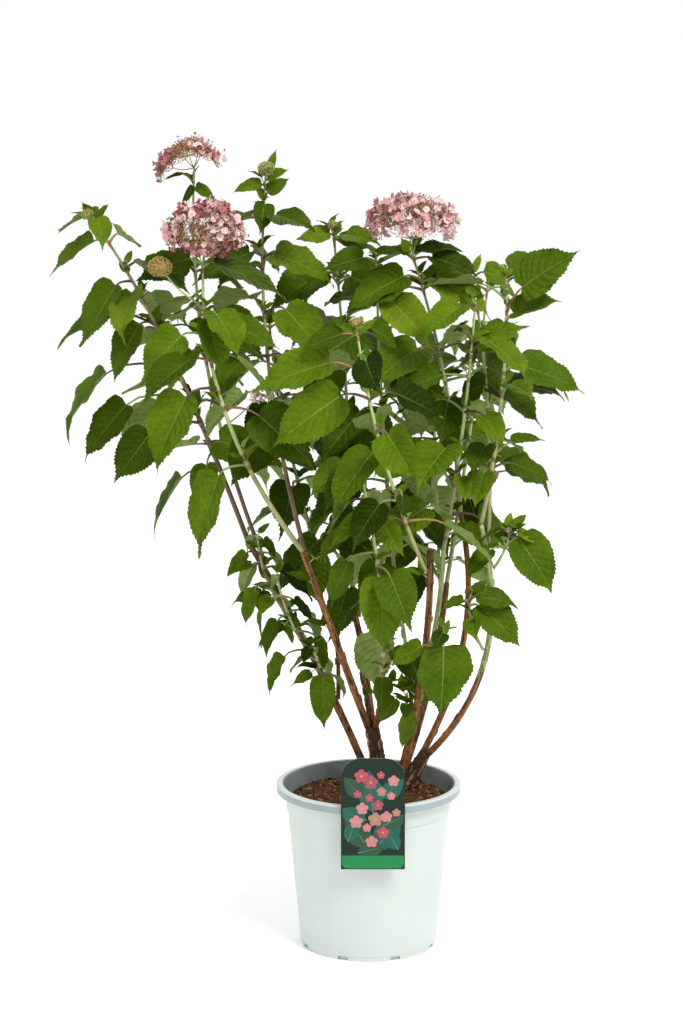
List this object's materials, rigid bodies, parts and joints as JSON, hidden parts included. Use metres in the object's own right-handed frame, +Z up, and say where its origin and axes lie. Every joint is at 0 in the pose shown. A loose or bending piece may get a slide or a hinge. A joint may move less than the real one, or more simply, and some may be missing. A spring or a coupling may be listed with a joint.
{
  "type": "potted smooth hydrangea",
  "caption": "Young flowering shrub with thin arching canes, toothed egg-shaped leaves, domed pink flower heads and a tapered nursery pot with a plant label.",
  "frame": {"origin": "middle of the pot's flat underside, on the ground", "axes": "+Z up, -Y towards the side that carries the label, +X to the right of someone who faces the label"},
  "size_m": [0.6408, 0.5172, 0.9915],
  "materials": {
    "pot": "smooth satin plastic",
    "soil": "moist fibrous potting mix",
    "label": "printed glossy card",
    "bark": "red-brown flaking bark",
    "green_cane": "smooth green stem",
    "foliage": "soft leaves",
    "blossom": "papery florets"
  },
  "bodies": {
    "root": {"pot": "pot", "soil": "soil", "label": "label", "stump_left": "bark", "cane_left": "bark", "cane_centre": "bark", "stub_left": "bark", "cane_left_rear": "bark", "cane_left_back": "bark", "cane_mid": "bark", "cane_mid_thin": "bark", "stump_right": "bark", "cane_right_inner": "bark", "cane_right": "bark", "cane_back": "bark", "cane_back_right": "bark", "cane_green": "green_cane", "shoot_left_head": "foliage", "shoot_left_bud": "foliage", "shoot_far_left": "foliage", "shoot_top_head": "foliage", "sprig_left_low": "foliage", "sprig_left_mid": "foliage", "sprig_left_base": "foliage", "shoot_centre_low": "foliage", "shoot_mid_bud": "foliage", "shoot_green": "foliage", "shoot_right_head": "foliage", "shoot_right_top": "foliage", "shoot_right_mid": "foliage", "sprig_right_low": "foliage", "sprig_right_base": "foliage", "sprig_front": "foliage", "sprig_mid_low": "foliage", "shoot_back_left": "foliage", "shoot_back_bud": "foliage", "shoot_back": "foliage", "shoot_back_right": "foliage", "shoot_back_out": "foliage", "shoot_back_mid": "foliage", "flower_head_left": "blossom", "flower_head_top": "blossom", "flower_head_right": "blossom"}
  },
  "joints": []
}
